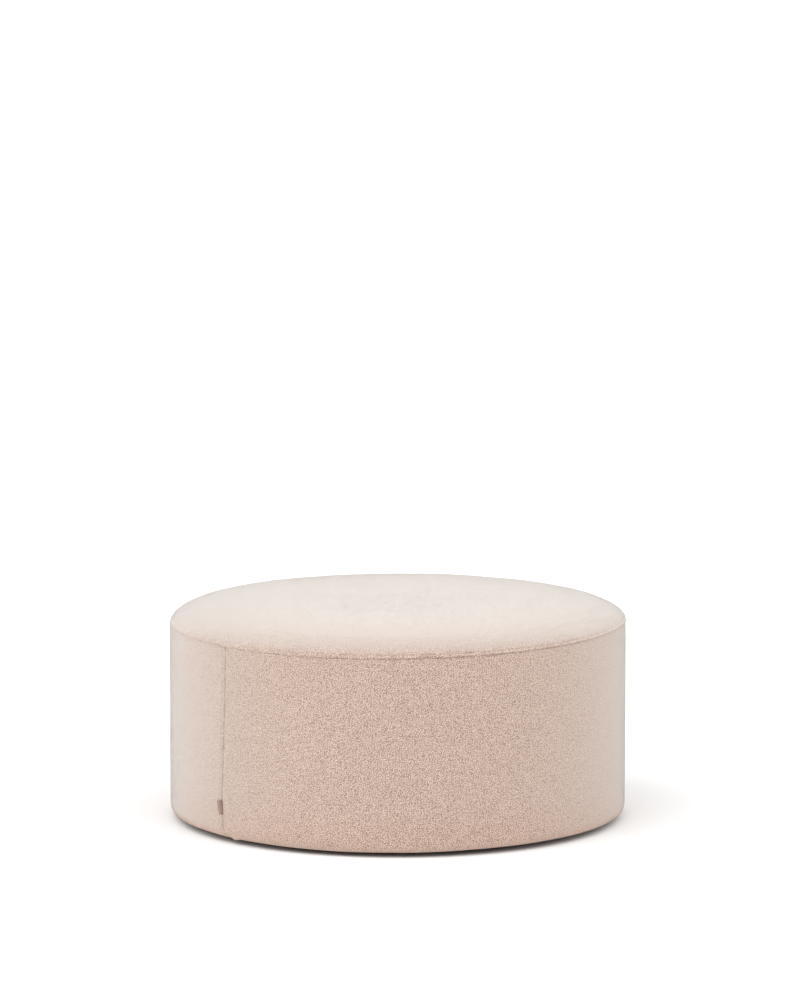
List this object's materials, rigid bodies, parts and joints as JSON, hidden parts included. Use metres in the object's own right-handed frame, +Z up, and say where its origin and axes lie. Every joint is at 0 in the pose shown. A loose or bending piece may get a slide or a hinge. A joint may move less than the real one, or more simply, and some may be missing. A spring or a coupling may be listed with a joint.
{
  "type": "footstool",
  "caption": "Round upholstered footstool in curly fleece, with a crowned top panel, a straight side band, a sewn-in label and low glides underneath.",
  "frame": {"origin": "on the floor under the middle of the stool", "axes": "+Z up, the front faces -Y and +X is to the right as seen from the front"},
  "size_m": [0.9002, 0.9002, 0.428],
  "materials": {
    "fleece": "matt curly fleece, dusty pink, with a pale bloom where it is seen at a low angle",
    "ribbon": "plain woven ribbon, taupe, blank",
    "base_cloth": "thin dark non-woven cloth",
    "glide": "moulded black plastic, satin"
  },
  "bodies": {
    "root": {"top_panel": "fleece", "side_band": "fleece", "label": "ribbon", "base_cloth": "base_cloth", "glide_1": "glide", "glide_2": "glide", "glide_3": "glide", "glide_4": "glide", "glide_5": "glide", "glide_6": "glide"}
  },
  "joints": []
}
